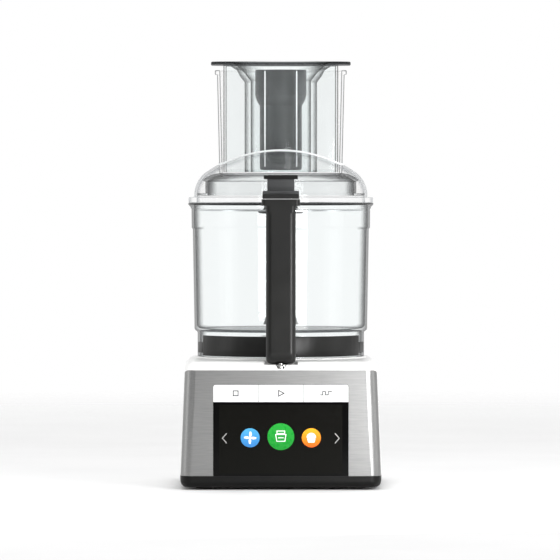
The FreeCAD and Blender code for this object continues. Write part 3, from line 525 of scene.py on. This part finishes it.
def pusher_ribs():
    """The cores of the two upright ribs that join the pusher's front wall to its cup, in a white that is a
    painted highlight.
    """
    rib_x, half, tip, taper, depth = 17.6, 0.75, 0.3, 0.8, 11
    pusher_front, wall = -22, 2.5           # the pusher's front face, from the drive axis
    low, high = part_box("large_pusher")
    bottom, top = low.z / MM + 6, high.z / MM - 10
    outline = [(-half, bottom), (half, bottom), (half, top - taper), (tip, top), (-tip, top),
               (-half, top - taper)]
    for side, name in ((-1, "pusher_rib_left"), (1, "pusher_rib_right")):
        plate(name, [moved(outline, side * rib_x, 0)], SPINDLE_Y + pusher_front + wall, depth, HIGHLIGHT_WHITE,
              "pusher")


def tube_foot_path():
    """The feed tube's outline at its foot, from its right side round the front to its left.

    Its points are measured from the drive axis."""
    side, front, corner_radius, reach = 68.5, -26, 13, 20
    side_steps, side_step, front_steps = 11, 3, 16
    corner = side - corner_radius
    path = [(side, reach - side_step * i) for i in range(side_steps)]
    for degrees in range(0, 90, 10):
        angle = math.radians(degrees)
        path.append((corner + corner_radius * math.cos(angle),
                     front + corner_radius - corner_radius * math.sin(angle)))
    path += [(corner - corner * i / front_steps, front) for i in range(front_steps)]
    return path + [(0, front)] + [(-x, y) for x, y in reversed(path)]


def seam_bead():
    """The bead round the front of the feed tube, where it stands on the lid's domed crown, in a white that is
    a painted highlight.
    """
    crown_radius, crown_top = 146, 372
    # the bead's section: how far out from the tube, and how far up from the dome
    section = [(-0.1, -0.6), (1.1, -0.6), (1.1, 0.9), (0.5, 1.6), (-0.1, 1.6)]
    path = tube_foot_path()
    mesh = bmesh.new()
    rings = []
    for i, (x, y) in enumerate(path):
        step = (Vector(path[min(i + 1, len(path) - 1)]) - Vector(path[max(i - 1, 0)])).normalized()
        out_x, out_y = -step.y, step.x
        dome = crown_top - crown_radius + math.sqrt(crown_radius ** 2 - x ** 2 - y ** 2)
        corners = [(x + out_x * out, y + out_y * out + SPINDLE_Y, dome + up) for out, up in section]
        rings.append([mesh.verts.new(Vector(corner) * MM) for corner in corners])
    for near, far in zip(rings, rings[1:]):
        for i in range(len(section)):
            j = (i + 1) % len(section)
            mesh.faces.new((near[i], near[j], far[j], far[i]))
    mesh.faces.new(rings[0])
    mesh.faces.new(rings[-1][::-1])
    bmesh.ops.recalc_face_normals(mesh, faces=mesh.faces)
    piece = add_object("tube_seam_bead", mesh, HIGHLIGHT_WHITE)
    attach(piece, "lid")


display_pieces()
key_symbols()
pusher_ribs()
seam_bead()


# ---------------------------------------------------------------- floor, light and camera, in metres

def make_floor():
    """A pale round floor that fades out towards its edge."""
    finish = Finish("floor_paper")
    finish.colour(linear(246, 246, 246), linear(250, 250, 250), 0.2)
    finish.roughness(0.7, 0.8, 0.1)
    distance = finish.add("ShaderNodeVectorMath", operation="LENGTH")
    finish.link(finish.place, distance.inputs[0])
    fade_start, fade_end = 0.7, 2.6
    fade = finish.spread(distance.outputs["Value"], 1, 0, fade_start, fade_end)
    finish.link(fade, finish.shader.inputs["Alpha"])
    mesh = bmesh.new()
    bmesh.ops.create_circle(mesh, cap_ends=True, cap_tris=True, segments=128, radius=3.4)
    add_object("floor", mesh, finish.material)


def make_world():
    """A pale studio: white behind the object, softer grey in front of it."""
    world = bpy.data.worlds.new("studio")
    bpy.context.scene.world = world
    world.use_nodes = True
    tree = world.node_tree
    background = tree.nodes["Background"]
    background.inputs["Color"].default_value = (1, 1, 1, 1)
    place = tree.nodes.new("ShaderNodeTexCoord")
    split = tree.nodes.new("ShaderNodeSeparateXYZ")
    tree.links.new(place.outputs["Generated"], split.inputs["Vector"])
    ramp = tree.nodes.new("ShaderNodeMapRange")
    ramp.interpolation_type = "SMOOTHSTEP"
    for key, value in (("From Min", -1.0), ("From Max", 0.55), ("To Min", 0.44), ("To Max", 1.0)):
        ramp.inputs[key].default_value = value
    tree.links.new(split.outputs["Y"], ramp.inputs["Value"])
    tree.links.new(ramp.outputs["Result"], background.inputs["Strength"])


def softbox(name, place, aim, width, height, power):
    """A rectangular area light of so many watts, turned towards the point aim."""
    data = bpy.data.lights.new(name, "AREA")
    data.shape = "RECTANGLE"
    data.size, data.size_y = width, height
    data.energy = power
    lamp = bpy.data.objects.new(name, data)
    bpy.context.scene.collection.objects.link(lamp)
    lamp.location = place
    lamp.rotation_euler = (Vector(aim) - Vector(place)).to_track_quat("-Z", "Y").to_euler()


def make_lights():
    """Big soft lights all round, and a near one that grades the front panel from dark to light."""
    middle = (0, 0, 0.2)
    softbox("top_box", (0, -0.3, 1.9), middle, 1.4, 1.4, 6.5)
    softbox("key_box", (-1.3, -1.7, 1.4), middle, 1.0, 1.0, 4.5)
    softbox("fill_box", (1.5, -1.5, 1.1), middle, 1.0, 1.0, 3)
    softbox("panel_box", (0.34, -0.78, 0.13), (0.1, -0.13, 0.07), 0.3, 0.5, 5.8)
    for side, name in ((-1, "left_strip"), (1, "right_strip")):
        softbox(name, (side * 1.1, -0.28, 0.42), (0, 0, 0.3), 0.45, 1.1, 2)


def make_camera():
    """A long lens a little above the object's middle, as far off as a product picture is taken from."""
    distance, height, aim_height, shift = 6.5, 0.36, 0.2262, -0.0009
    # the picture is frame_width wide at the upright plane that stands frame_plane in front of the middle
    sensor, frame_width, frame_plane = 36, 0.616, 0.06
    data = bpy.data.cameras.new("camera")
    data.sensor_width = sensor
    data.lens = sensor * (distance - frame_plane) / frame_width
    camera = bpy.data.objects.new("camera", data)
    bpy.context.scene.collection.objects.link(camera)
    camera.location = (shift, -distance, height)
    aim = Vector((shift, 0, aim_height)) - camera.location
    camera.rotation_euler = aim.to_track_quat("-Z", "Y").to_euler()
    bpy.context.scene.camera = camera


make_floor()
make_world()
make_lights()
make_camera()
scene = bpy.context.scene
scene.view_settings.view_transform = "Standard"
scene.cycles.max_bounces = 16
scene.cycles.transparent_max_bounces = 64
